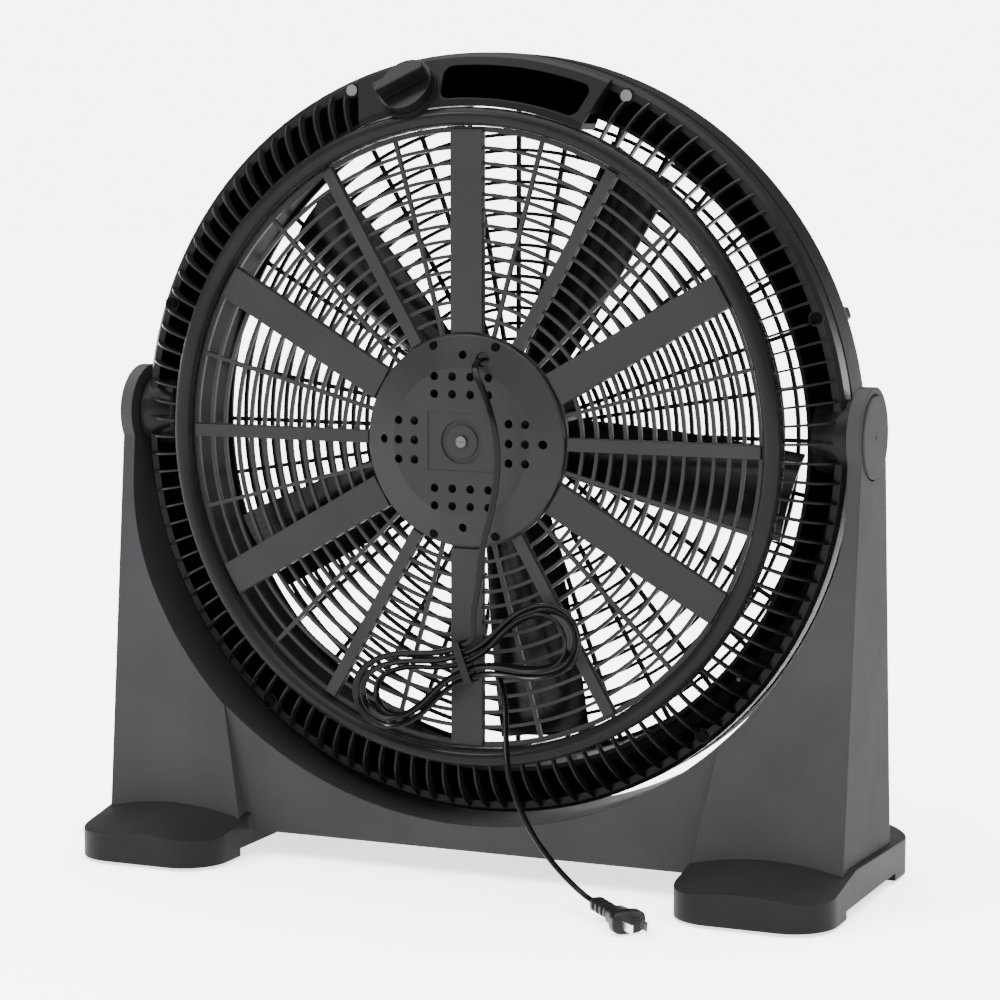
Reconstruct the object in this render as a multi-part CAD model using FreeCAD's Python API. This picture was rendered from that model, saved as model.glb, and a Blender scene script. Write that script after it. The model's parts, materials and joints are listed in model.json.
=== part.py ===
import FreeCAD, Part
import math
import os

os.makedirs("parts", exist_ok=True)

V = FreeCAD.Vector

# Shared
overrun = 2.0
half_share = 0.5
full_turn = 360.0
quarter_turn = 90.0
wall = 3.0
snug = 0.05
rub_gap = 0.3

# Stand
pivot_height = 340.0
stand_half_width = 299.0
arc_radius = 300.0
upright_thick = 10.0
upright_round = 36.0
blend_radius = 200.0
leg_top_half = 33.0
leg_bottom_half = 61.0
leg_inner_bottom = 183.0
leg_inner_top = 206.0
crease_top = 140.0
bar_bottom = 20.0
bar_half_bottom = 45.0
bar_half_top = 51.0
bar_half_length = 216.0
bar_top = 150.0
hollow_top = 285.0

foot_inner = 183.0
foot_outer = 303.0
foot_half_length = 119.0
foot_corner = 34.0
foot_base = 2.5
foot_crown = 38.0
foot_end_crown = 27.0
foot_front_crown = 36.0
foot_dome_radius = 233.0
relief_half = 62.0
relief_rise = 6.0
pad_radius = 11.0
pad_inset = 34.0
post_radius = 7.0
post_offset = 34.0
post_top = 120.0
screw_radius = 2.2
screw_length = 46.0
screw_head_radius = 4.2
screw_head_rise = 3.0
foot_screw_seat = 16.0

# Tilt pivot
cap_radius = 30.0
cap_gap = 1.0
cap_depth = 3.0
cap_proud = 1.5
cap_mark_radius = 1.6
cap_mark_depth = 0.6
bolt_radius = 4.0
bolt_fit = 0.08
bolt_head_radius = 8.0
bolt_head_rise = 3.0
bolt_length = 30.0
washer_radius = 24.0
washer_thick = 2.4
boss_radius = 27.0
boss_length = 26.0
nut_radius = 7.5
nut_thick = 6.0

# Head, radii about its centre line and depths from the pivot plane
head_drop = 10.0
lip_outer = 284.5
lip_inner = 276.0
lip_rear = 19.5
skirt_front = 0.5
ring_inner = 231.0
ring_outer = 244.5
ring_root = 45.0
ring_wall = 2.5
ring_tail = 7.0
vane_count = 120
vane_thick = 1.6
vane_depth = 5.0
vane_mid_radius = 269.0
vane_mid_rear = 36.0
band_outer = 285.0
band_straight = 28.0
band_front = 54.0
band_nose = 264.0
air_wall_inner = 252.0
air_wall_rear = 8.0
case_post_radius = 5.0
case_post_circle = 277.5
case_pad_radius = 6.0
case_screw_angles = (111.9, 65.2, 20.0, 160.0, 230.0, 310.0)
pad_thick = 5.5

guard_rear = 41.0
guard_depth = 3.0
guard_rings = 13
guard_ring_width = 2.6
guard_hub = 80.0
guard_rim = 4.0
guard_gap = 0.4
spoke_rise = 2.6
spoke_wide = 26.0
spoke_narrow = 10.0
spoke_thin = 3.0
guard_spokes = 12
grille_outer = 260.0
grille_rim = 11.0
grille_hub = 46.0
grille_rings = 17
grille_depth = 3.0
grille_bars = 36
grille_screw_circle = 257.0
grille_screw_radius = 1.5
badge_radius = 40.0
badge_thick = 3.0

panel_start = 68.2
panel_end = 110.0
panel_inner = 245.2
panel_crest = 47.0
panel_shoulder = 250.0
panel_fall = 281.0
panel_fall_rear = 26.0
panel_outer = 283.5
panel_edge_rear = 22.0
panel_wall = 2.5
pocket_start = 70.0
pocket_end = 94.8
pocket_inner = 251.0
pocket_outer = 275.0
pocket_floor = 12.0
pocket_wall = 2.0
pocket_round = 7.0
knob_angle = 100.3
knob_circle = 260.0
knob_rest = 30.0
knob_seat_rise = 2.5
knob_seat_radius = 22.5
knob_radius = 21.5
knob_skirt = 7.0
knob_height = 19.0
knob_bar = 8.0
spindle_radius = 3.0
spindle_fit = 0.06
switch_radius = 11.0
switch_depth = 14.0
switch_nut_radius = 7.0
switch_nut_thick = 2.5
seat_wall = 3.0

# Motor
cover_radius = 79.0
cover_rim = 5.0
cover_flat_radius = 55.0
cover_rise = 12.0
cover_wall = 2.5
cover_ease = 1.0
slot_floor = 1.0
label_width = 54.0
label_height = 44.0
label_depth = 0.8
dish_radius = 16.5
dish_depth = 1.6
button_radius = 12.5
button_rise = 1.2
vent_radius = 3.2
vent_pitch = 14.5
vent_near = 35.0
vent_far = 48.0
vent_side_near = 38.0
vent_side_far = 51.0
vent_single = 64.0
cover_screw_x = 25.0
cover_screw_z = 70.0
cord_hole_x = -16.0
cord_hole_z = 61.0
cord_hole_radius = 5.4
motor_radius = 50.0
motor_rear = 38.0
motor_split = 13.0
motor_front = -12.0
stator_outer = 45.0
stator_inner = 28.0
stator_rear = 23.0
stator_front = 3.0
coil_inner = 30.0
coil_outer = 43.0
coil_length = 7.0
air_gap = 0.5
shaft_radius = 4.0
bearing_radius = 9.0
bearing_length = 6.0
motor_screw_circle = 60.0
lug_radius = 7.0
lug_length = 6.0
shaft_front = -50.0

# Impeller
blade_count = 5
blade_first_angle = 62.0
blade_tip = 232.0
blade_root = 53.0
blade_mid = 140.0
blade_chords = (48.0, 62.0, 68.0)
blade_pitches = (38.0, 26.0, 20.0)
blade_camber = 7.0
blade_thick = 2.2
blade_depth = 33.0
hub_radius = 55.0
hub_front = -46.0
hub_rear = -16.0
hub_boss = 10.0
lock_nut_radius = 12.0
lock_nut_length = 5.0

# Cord
cord_radius = 2.3
gland_radius = 5.3
gland_length = 2.5
hank_x = -9.0
hank_z = 165.0
hank_rear = 62.0
hank_tilt = 20.5
lobe_reach = 66.0
lobe_half = 26.0
strand_pitch = 6.0
layer_pitch = 5.4
turn_radius = 16.0
lead_run = 4.0
exit_run = 5.0
cord_first_run = 25.0
cord_last_run = 20.0
lift_radius = 20.0
lift_angle = 32.0
end_run = 4.6
tie_wall = 1.2
tie_half_width = 3.0
tie_gap = 0.5
join_gap = 0.3
route_share = 0.45
drop_corners = ((-32.0, 78.0, 364.0), (-40.0, 76.0, 330.0), (-36.0, 73.0, 292.0), (-24.0, 70.0, 254.0))
tail_corners = ((-56.0, 96.0, 92.0), (-72.0, 105.0, 64.0), (-93.0, 110.0, 38.0))
plug_start = (-134.0, 120.0, 11.5)
plug_heading = (-56.0, 50.0, -3.0)
relief_step = 1.0
relief_collars = 4
relief_collar = 4.0
plug_ease = 4.0
relief_length = 30.0
relief_radius = 5.0
plug_length = 24.0
plug_half_width = 13.0
plug_half_height = 8.5
prong_length = 16.0
prong_width = 6.3
prong_thick = 1.5
prong_spread = 12.7
prong_root = 5.0


head_height = pivot_height - head_drop
head_axis = V(0, 1, 0)
head_centre = V(0, 0, head_height)


def turned(points, degrees=full_turn, start=None):
    """Solid of revolution about the head's centre line from (radius, depth) points."""
    edges = []
    pts = [V(p[0], p[1], head_height) if len(p) == 2 else p for p in points]
    index = 0
    while index < len(pts):
        here = pts[index]
        nxt = pts[(index + 1) % len(pts)]
        if isinstance(nxt, tuple):
            mid = V(nxt[0], nxt[1], head_height)
            nxt = pts[(index + 2) % len(pts)]
            edges.append(Part.Arc(here, mid, nxt).toShape())
            index += 2
        else:
            edges.append(Part.LineSegment(here, nxt).toShape())
            index += 1
    face = Part.Face(Part.Wire(edges))
    if start is not None:
        face.rotate(head_centre, V(0, -1, 0), start)
    return face.revolve(head_centre, V(0, -1, 0), degrees)


def arc_mid(radius, depth):
    """Marks a point that an arc passes through."""
    return (radius, depth, "mid")


def tube(inner, outer, front, rear):
    length = rear - front
    body = Part.makeCylinder(outer, length, V(0, front, head_height), head_axis)
    if inner > 0:
        body = body.cut(Part.makeCylinder(inner, length + 2 * overrun, V(0, front - overrun, head_height), head_axis))
    return body


def at(radius, degrees, depth=0.0):
    """Point on the head seen from behind; degrees run anticlockwise from the right."""
    a = math.radians(degrees)
    return V(-radius * math.cos(a), depth, head_height + radius * math.sin(a))


def rod(start, radius, length, direction=V(0, 1, 0)):
    return Part.makeCylinder(radius, length, start, direction)


def mirror_x(shape):
    return shape.mirror(V(0, 0, 0), V(1, 0, 0))


def prism_xz(points, half_depth):
    face = Part.Face(Part.makePolygon([V(x, -half_depth, z) for x, z in points + points[:1]]))
    return face.extrude(V(0, 2 * half_depth, 0))


def prism_yz(points, x_low, x_high):
    face = Part.Face(Part.makePolygon([V(x_low, y, z) for y, z in points + points[:1]]))
    return face.extrude(V(x_high - x_low, 0, 0))


def save(node, shape):
    shape.exportStep("parts/%s.step" % node)
    print(node, len(shape.Solids), round(shape.Volume), shape.isValid(), flush=True)


# Stand

def drum_space(inset):
    """The room the head swings in: a round cradle that runs smoothly into upright sides."""
    half = stand_half_width
    near = stand_half_width - upright_thick
    side = near + inset
    low = pivot_height - math.sqrt((arc_radius - blend_radius) ** 2 - (near - blend_radius) ** 2)
    high = pivot_height + half
    hub = V(0, -half, pivot_height)
    blend = V(near - blend_radius, -half, low)
    out = (blend - hub).normalize()
    join = hub + out * (arc_radius + inset)
    bow = blend + (out + V(1, 0, 0)).normalize() * (blend_radius + inset)
    edges = [Part.LineSegment(V(-side, -half, low), V(-side, -half, high)).toShape(),
             Part.LineSegment(V(-side, -half, high), V(side, -half, high)).toShape(),
             Part.LineSegment(V(side, -half, high), V(side, -half, low)).toShape(),
             Part.Arc(V(side, -half, low), bow, join).toShape(),
             Part.Arc(join, V(0, -half, pivot_height - arc_radius - inset), V(-join.x, -half, join.z)).toShape(),
             Part.Arc(V(-join.x, -half, join.z), V(-bow.x, -half, bow.z), V(-side, -half, low)).toShape()]
    return Part.Face(Part.Wire(edges)).extrude(V(0, 2 * half, 0))


def leg_half_depth(z):
    run = pivot_height - upright_round - bar_bottom
    slope = (leg_bottom_half - leg_top_half) / run
    return leg_bottom_half - slope * (z - bar_bottom)


def leg_form(inset, low, high):
    outer = stand_half_width - inset
    slant = (leg_inner_top - leg_inner_bottom) / (crease_top - bar_bottom)
    foot_x = leg_inner_bottom + inset + slant * (low - bar_bottom)
    front_view = prism_xz([(foot_x, low), (outer, low), (outer, high),
                           (leg_inner_top + inset, high), (leg_inner_top + inset, crease_top)],
                          foot_half_length)
    side_top = min(high, pivot_height)
    low_half = leg_half_depth(low) - inset
    high_half = leg_half_depth(side_top) - inset
    side = prism_yz([(-low_half, low), (low_half, low), (high_half, side_top), (-high_half, side_top)], 0, outer)
    if high > pivot_height:
        side = side.fuse(Part.makeCylinder(upright_round, outer, V(0, 0, pivot_height), V(1, 0, 0)))
    return front_view.common(side)


def bar_form(inset, low):
    rise = (bar_half_top - bar_half_bottom) / (bar_top - bar_bottom)
    low_half = bar_half_bottom - inset + rise * (low - bar_bottom)
    top_half = bar_half_top - inset
    return prism_yz([(-low_half, low), (low_half, low), (top_half, bar_top), (-top_half, bar_top)],
                    -bar_half_length, bar_half_length)


def foot_dome():
    """Space below the crowned top of the right-hand foot."""
    mid = (foot_inner + foot_outer) * half_share
    length = 4 * foot_half_length
    halves = []
    for side, end in ((1, foot_end_crown), (-1, foot_front_crown)):
        fall = math.atan2(foot_crown - end, foot_half_length - leg_bottom_half)
        top = V(mid, side * leg_bottom_half, foot_crown)
        along = V(0, side * math.cos(fall), -math.sin(fall))
        up = V(0, side * math.sin(fall), math.cos(fall))
        start = top - up * foot_dome_radius - along * (length * half_share)
        halves.append(Part.makeCylinder(foot_dome_radius, length, start, along))
    room = Part.makeBox(foot_outer - foot_inner + 2 * overrun, length, 2 * foot_crown,
                        V(foot_inner - overrun, -length * half_share, 0))
    return halves[0].common(halves[1]).common(room)


def foot_plan(low, high):
    size_x = foot_outer - foot_inner
    block = Part.makeBox(size_x, 2 * foot_half_length, high - low, V(foot_inner, -foot_half_length, low))
    upright = [e for e in block.Edges if abs(e.tangentAt(e.FirstParameter).z) > half_share]
    return block.makeFillet(foot_corner, upright)


def foot_spots():
    mid = (foot_inner + foot_outer) * half_share
    return [(mid, post_offset), (mid, -post_offset)]


def foot_shape():
    foot = foot_plan(foot_base, 2 * foot_crown).common(foot_dome())
    size_x = foot_outer - foot_inner
    relief = Part.makeBox(size_x + 2 * overrun, 2 * relief_half, relief_rise + foot_base,
                          V(foot_inner - overrun, -relief_half, 0))
    foot = foot.cut(relief)
    for x, y in foot_spots():
        foot = foot.cut(rod(V(x, y, 0), screw_head_radius + rub_gap, foot_screw_seat, V(0, 0, 1)))
        foot = foot.cut(rod(V(x, y, 0), screw_radius + rub_gap, 3 * foot_crown, V(0, 0, 1)))
    return foot


def cradle_shape():
    high = pivot_height + upright_round + overrun
    leg = leg_form(0, bar_bottom, high)
    outer = leg.fuse(mirror_x(leg)).fuse(bar_form(0, bar_bottom)).cut(drum_space(0)).removeSplitter()
    hollow_leg = leg_form(wall, bar_bottom - overrun, hollow_top)
    hollow = hollow_leg.fuse(mirror_x(hollow_leg)).fuse(bar_form(wall, bar_bottom - overrun))
    hollow = hollow.cut(drum_space(wall))
    shell = outer.cut(hollow)
    for side in (1, -1):
        for x, y in foot_spots():
            post = rod(V(side * x, y, bar_bottom), post_radius, post_top - bar_bottom, V(0, 0, 1))
            rib_x = side * x - wall * half_share
            rib_y = y if y > 0 else y - leg_bottom_half
            rib = Part.makeBox(wall, leg_bottom_half, post_top - bar_bottom, V(rib_x, rib_y, bar_bottom))
            rib = rib.common(outer)
            shell = shell.fuse(post).fuse(rib)
        link_x = side * foot_spots()[0][0] - wall * half_share
        link = Part.makeBox(wall, 2 * post_offset, post_top - bar_bottom, V(link_x, -post_offset, bar_bottom))
        shell = shell.fuse(link)
    dome = foot_dome()
    shell = shell.cut(dome).cut(mirror_x(dome))
    for side in (1, -1):
        for x, y in foot_spots():
            shell = shell.cut(rod(V(side * x, y, 0), screw_radius + snug, foot_screw_seat + screw_length + overrun,
                                  V(0, 0, 1)))
        face_x = side * stand_half_width
        inward = V(-side, 0, 0)
        start = V(face_x + side * overrun, 0, pivot_height)
        shell = shell.cut(rod(start, cap_radius + cap_gap, cap_depth + overrun, inward))
        shell = shell.cut(rod(start, bolt_head_radius + rub_gap, cap_depth + bolt_head_rise + overrun, inward))
        shell = shell.cut(rod(start, bolt_radius + bolt_fit, 2 * upright_thick, inward))
    return shell.removeSplitter()


def pivot_pieces(side):
    inward = V(-side, 0, 0)
    face_x = side * stand_half_width
    cap = rod(V(face_x - side * cap_depth, 0, pivot_height), cap_radius, cap_depth + cap_proud, V(side, 0, 0))
    rim = [e for e in cap.Edges if abs(e.CenterOfMass.x - face_x - side * cap_proud) < snug]
    cap = cap.makeFillet(cap_proud * half_share, rim)
    cap = cap.cut(rod(V(face_x + side * (cap_proud - cap_mark_depth), 0, pivot_height),
                      cap_mark_radius, overrun, V(side, 0, 0)))
    head_x = face_x - side * cap_depth
    bolt = rod(V(head_x, 0, pivot_height), bolt_head_radius, bolt_head_rise, inward)
    bolt = bolt.fuse(rod(V(head_x, 0, pivot_height), bolt_radius, bolt_length, inward))
    washer_x = side * (stand_half_width - upright_thick)
    washer = rod(V(washer_x - side * rub_gap, 0, pivot_height), washer_radius, washer_thick, inward)
    washer = washer.cut(rod(V(washer_x, 0, pivot_height), bolt_radius + bolt_fit, 2 * washer_thick, inward))
    nut_x = boss_end() - boss_length
    nut = rod(V(side * nut_x, 0, pivot_height), nut_radius, nut_thick, V(side, 0, 0))
    nut = nut.cut(rod(V(side * (nut_x - overrun), 0, pivot_height), bolt_radius + bolt_fit,
                      nut_thick + 2 * overrun, V(side, 0, 0)))
    return cap, bolt, washer, nut


def boss_end():
    return stand_half_width - upright_thick - rub_gap - washer_thick


# Head

def ring_mid():
    return (ring_inner + ring_outer) * half_share


def ring_section():
    out = (ring_outer - ring_inner) * half_share
    thin = out - ring_wall
    tail = ring_root - ring_tail
    mid = ring_mid()
    return [(ring_inner, tail), (ring_inner, ring_root), arc_mid(mid, ring_root + out), (ring_outer, ring_root),
            (ring_outer, tail), (ring_outer - ring_wall, tail), (ring_outer - ring_wall, ring_root),
            arc_mid(mid, ring_root + thin), (ring_inner + ring_wall, ring_root), (ring_inner + ring_wall, tail)]


def lip_section():
    inner = lip_outer - wall
    return [(lip_inner, lip_rear - wall), (lip_inner, lip_rear), (lip_outer - wall, lip_rear),
            (lip_outer, lip_rear - wall), (lip_outer, skirt_front), (inner, skirt_front), (inner, lip_rear - wall)]


def vane():
    near = ring_outer - ring_wall * half_share
    far = lip_outer - wall
    deep = lip_rear - wall * half_share
    half = vane_thick * half_share
    z = head_height - half
    inner = far - vane_depth
    edges = [Part.Arc(V(near, ring_root, z), V(vane_mid_radius, vane_mid_rear, z), V(far, deep, z)).toShape(),
             Part.LineSegment(V(far, deep, z), V(inner, deep, z)).toShape(),
             Part.Arc(V(inner, deep, z), V(vane_mid_radius - vane_depth, vane_mid_rear - vane_depth, z),
                      V(near, ring_root - vane_depth, z)).toShape(),
             Part.LineSegment(V(near, ring_root - vane_depth, z), V(near, ring_root, z)).toShape()]
    return Part.Face(Part.Wire(edges)).extrude(V(0, 0, vane_thick))


def housing_shape():
    tools = [turned(ring_section())]
    one = vane()
    pitch = full_turn / vane_count
    for k in range(vane_count):
        degrees = (k + half_share) * pitch
        if panel_start - pitch * half_share < degrees < panel_end + pitch * half_share:
            continue
        copy = one.copy()
        copy.rotate(head_centre, V(0, -1, 0), full_turn * half_share - degrees)
        tools.append(copy)
    for degrees in case_screw_angles:
        pad = rod(at(case_post_circle, degrees, lip_rear - pad_thick), case_pad_radius, pad_thick)
        tools.append(pad)
    boss_start = boss_end() - boss_length
    for side in (1, -1):
        boss = rod(V(side * boss_start, 0, pivot_height), boss_radius, boss_length, V(side, 0, 0))
        tools.append(boss)
    body = turned(lip_section()).multiFuse(tools)
    for side in (1, -1):
        body = body.cut(rod(V(side * (boss_start - overrun), 0, pivot_height), bolt_radius + bolt_fit,
                            boss_length + 2 * overrun, V(side, 0, 0)))
        body = body.cut(rod(V(side * (boss_start - overrun), 0, pivot_height), nut_radius + snug,
                            nut_thick + overrun, V(side, 0, 0)))
    for degrees in case_screw_angles:
        hole = rod(at(case_post_circle, degrees, 0), screw_radius + snug, 2 * lip_rear)
        reach = rod(at(case_post_circle, degrees, lip_rear), 2 * screw_radius + rub_gap, panel_crest)
        body = body.cut(hole.fuse(reach))
    body = body.cut(pocket_form(pocket_wall + rub_gap, pocket_floor - pocket_wall - rub_gap))
    deep = seat_depth() - knob_seat_rise - seat_wall - rub_gap
    room = rod(at(knob_circle, knob_angle, deep), knob_seat_radius + rub_gap, panel_crest)
    well = rod(at(knob_circle, knob_angle, deep - switch_depth), switch_radius + rub_gap, panel_crest)
    return body.cut(leaned(room.fuse(well)))


def front_ring_shape():
    inner = band_outer - wall
    nose = band_front - wall
    bow_r = (band_outer + band_nose) * half_share + wall
    bow_y = (band_straight + band_front) * half_share + wall
    ring = turned([(band_outer, 0), (band_outer, -band_straight), arc_mid(bow_r, -bow_y), (band_nose, -band_front),
                   (air_wall_inner, -band_front), (air_wall_inner, air_wall_rear),
                   (air_wall_inner + wall, air_wall_rear), (air_wall_inner + wall, -nose), (band_nose, -nose),
                   arc_mid(bow_r - wall, -bow_y + wall * half_share), (inner, -band_straight), (inner, 0)])
    length = lip_rear - pad_thick + nose
    core = tube(0, lip_outer - wall - rub_gap, -band_front, band_front)
    posts = [rod(at(case_post_circle, d, -nose), case_post_radius, length).common(core) for d in case_screw_angles]
    ring = ring.multiFuse(posts)
    for degrees in case_screw_angles:
        ring = ring.cut(rod(at(case_post_circle, degrees, 0), screw_radius + snug, lip_rear))
    for side in (1, -1):
        notch = rod(V(side * air_wall_inner, 0, pivot_height), boss_radius + rub_gap, boss_length * 2, V(side, 0, 0))
        keep = tube(0, air_wall_inner + wall, -band_front, band_front)
        ring = ring.cut(notch.cut(keep))
    for degrees in grille_screw_angles():
        hole = rod(at(grille_screw_circle, degrees, -band_front - overrun), grille_screw_radius + snug, 2 * wall)
        ring = ring.cut(hole)
    return ring


def grille_screw_angles():
    return [quarter_turn * (k + half_share) for k in range(4)]


def cell(r0, r1, a0, a1, margin0, margin1, y):
    """Opening between two rings and two bars whose half widths are the margins."""
    def lean(r, margin):
        return math.degrees(math.asin(margin / r))

    def middle(r):
        return (a0 + lean(r, margin0) + a1 - lean(r, margin1)) * half_share
    p = [at(r0, a0 + lean(r0, margin0), y), at(r1, a0 + lean(r1, margin0), y),
         at(r1, a1 - lean(r1, margin1), y), at(r0, a1 - lean(r0, margin1), y)]
    edges = [Part.LineSegment(p[0], p[1]).toShape(), Part.Arc(p[1], at(r1, middle(r1), y), p[2]).toShape(),
             Part.LineSegment(p[2], p[3]).toShape(), Part.Arc(p[3], at(r0, middle(r0), y), p[0]).toShape()]
    return Part.Wire(edges)


def ring_grid(outer, rim, hub, rings, width, bars, rear, depth, drilled):
    """Flat grid of rings and radial bars; bars are (degrees, half width), drilled is (point, radius)."""
    y = rear - depth
    step = (outer - rim - hub) / rings
    rim_wire = Part.Wire(Part.makeCircle(outer, V(0, y, head_height), head_axis))
    holes = [Part.Wire(Part.makeCircle(r, V(q.x, y, q.z), head_axis)) for q, r in drilled]
    for k in range(rings):
        r0 = hub + k * step + (width * half_share if k else 0)
        r1 = hub + (k + 1) * step - (width * half_share if k < rings - 1 else 0)
        for j, (a0, m0) in enumerate(bars):
            a1, m1 = bars[(j + 1) % len(bars)]
            if j == len(bars) - 1:
                a1 = a1 + full_turn
            holes.append(cell(r0, r1, a0, a1, m0, m1, y))
    face = Part.makeFace([rim_wire] + holes, "Part::FaceMakerBullseye")
    return face.extrude(V(0, depth, 0))


def guard_shape():
    bars = []
    pitch = full_turn / guard_spokes
    for k in range(guard_spokes):
        width = spoke_wide if k % 2 else spoke_narrow
        bars.append((k * pitch, width * half_share))
        bars.append(((k + half_share) * pitch, spoke_thin * half_share))
    drilled = [(at(motor_screw_circle, d), screw_radius + snug) for d in motor_screw_angles()]
    drilled += [(V(x, 0, head_height + z), grille_screw_radius + snug) for x, z in cover_screw_spots()]
    outer = ring_inner - guard_gap
    grid = ring_grid(outer, guard_rim, guard_hub, guard_rings, guard_ring_width, bars, guard_rear, guard_depth, drilled)
    raised = []
    sunk = guard_depth * half_share
    start = guard_hub + guard_gap
    for degrees, half in bars:
        if half > spoke_thin:
            slim = 2 * (half - guard_gap)
            bar = Part.makeBox(outer - guard_rim * half_share - start, sunk + spoke_rise, slim,
                               V(start, guard_rear - sunk, head_height - slim * half_share))
            bar.rotate(head_centre, V(0, -1, 0), degrees)
            raised.append(bar)
    return grid.multiFuse(raised)


def motor_screw_angles():
    return [quarter_turn * k for k in range(4)]


def cover_screw_spots():
    return [(sx * cover_screw_x, sz * cover_screw_z) for sx in (1, -1) for sz in (1, -1)]


def grille_shape():
    bars = []
    for k in range(grille_bars):
        bars.append((k * full_turn / grille_bars, spoke_thin * half_share))
    drilled = [(at(grille_screw_circle, d), grille_screw_radius + snug) for d in grille_screw_angles()]
    return ring_grid(grille_outer, grille_rim, grille_hub, grille_rings, guard_ring_width, bars,
                     -band_front, grille_depth, drilled)


def sector(points, start, end):
    return turned(points, end - start, full_turn * half_share - end)


def pocket_form(grow, floor):
    grow_angle = math.degrees(grow / pocket_inner)
    form = sector([(pocket_inner - grow, floor), (pocket_inner - grow, 2 * panel_crest),
                   (pocket_outer + grow, 2 * panel_crest), (pocket_outer + grow, floor)],
                  pocket_start - grow_angle, pocket_end + grow_angle)
    upright = [e for e in form.Edges if e.Length > panel_crest * half_share
               and abs(e.tangentAt(e.FirstParameter).y) > half_share]
    return form.makeFillet(pocket_round + grow, upright)


def panel_form(inset, low):
    ease = inset * half_share
    points = [(panel_inner + inset, low), (panel_inner + inset, panel_crest - inset),
              (panel_shoulder, panel_crest - inset), (panel_fall - ease, panel_fall_rear - inset),
              (panel_outer - inset, panel_edge_rear - ease), (panel_outer - inset, low)]
    trim = math.degrees(inset / panel_inner)
    return sector(points, panel_start + trim, panel_end - trim)


def seat_depth():
    """Depth of the panel's sloping face below the knob, with the seat's rise."""
    slope = (panel_crest - panel_fall_rear) / (panel_fall - panel_shoulder)
    return panel_crest - (knob_circle - panel_shoulder) * slope + knob_seat_rise


def leaned(shape):
    """Turn a shape made along the head's axis so that it stands square on the sloping face."""
    lean = math.degrees(math.atan2(panel_crest - panel_fall_rear, panel_fall - panel_shoulder))
    a = math.radians(knob_angle)
    copy = shape.copy()
    copy.rotate(at(knob_circle, knob_angle, seat_depth() - knob_seat_rise), V(math.sin(a), 0, math.cos(a)), lean)
    return copy


def panel_shape():
    outer = panel_form(0, lip_rear)
    hollow = panel_form(panel_wall, lip_rear - overrun)
    tub = pocket_form(pocket_wall, pocket_floor - pocket_wall).common(panel_form(0, 0))
    body = outer.cut(hollow).fuse(tub).cut(pocket_form(0, pocket_floor))
    top = seat_depth()
    under = top - knob_seat_rise - seat_wall
    well = rod(at(knob_circle, knob_angle, under - switch_depth - rub_gap), switch_radius + rub_gap, switch_depth + rub_gap)
    above = rod(at(knob_circle, knob_angle, top), knob_seat_radius, panel_crest)
    body = body.cut(leaned(well)).cut(leaned(above))
    body = body.fuse(leaned(rod(at(knob_circle, knob_angle, under), knob_seat_radius, top - under)))
    body = body.cut(pocket_form(0, pocket_floor))
    return body.cut(leaned(rod(at(knob_circle, knob_angle, under - overrun), switch_nut_radius * half_share + snug,
                               2 * panel_crest)))


def knob_pieces():
    seat = seat_depth()
    top = seat + rub_gap
    centre = at(knob_circle, knob_angle, top)
    skirt = rod(centre, knob_radius, knob_skirt)
    grip = rod(centre, knob_radius - overrun, knob_height)
    for side in (1, -1):
        low = knob_bar * half_share if side > 0 else -knob_bar * half_share - 2 * knob_radius
        grip = grip.cut(Part.makeBox(4 * knob_radius, knob_height, 2 * knob_radius,
                                     centre + V(-2 * knob_radius, knob_skirt, low)))
    knob = skirt.fuse(grip)
    edges = [e for e in knob.Edges if e.CenterOfMass.y > top + knob_height - snug]
    knob = knob.makeFillet(overrun * half_share, edges)
    knob = knob.cut(rod(centre - V(0, overrun, 0), spindle_radius + snug, knob_skirt + 2 * overrun))
    knob.rotate(centre, V(0, 1, 0), knob_rest)
    body_top = seat - knob_seat_rise - seat_wall
    spindle_start = body_top - switch_nut_thick - overrun
    spindle = rod(at(knob_circle, knob_angle, spindle_start), spindle_radius, top + knob_skirt - spindle_start)
    body = rod(at(knob_circle, knob_angle, body_top - switch_depth), switch_radius, switch_depth)
    neck = rod(at(knob_circle, knob_angle, body_top), switch_nut_radius * half_share, knob_seat_rise + seat_wall)
    body = body.fuse(neck).cut(rod(at(knob_circle, knob_angle, spindle_start - rub_gap),
                                   spindle_radius + spindle_fit, 2 * switch_depth))
    return leaned(knob), leaned(spindle), leaned(body)


# Motor

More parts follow.
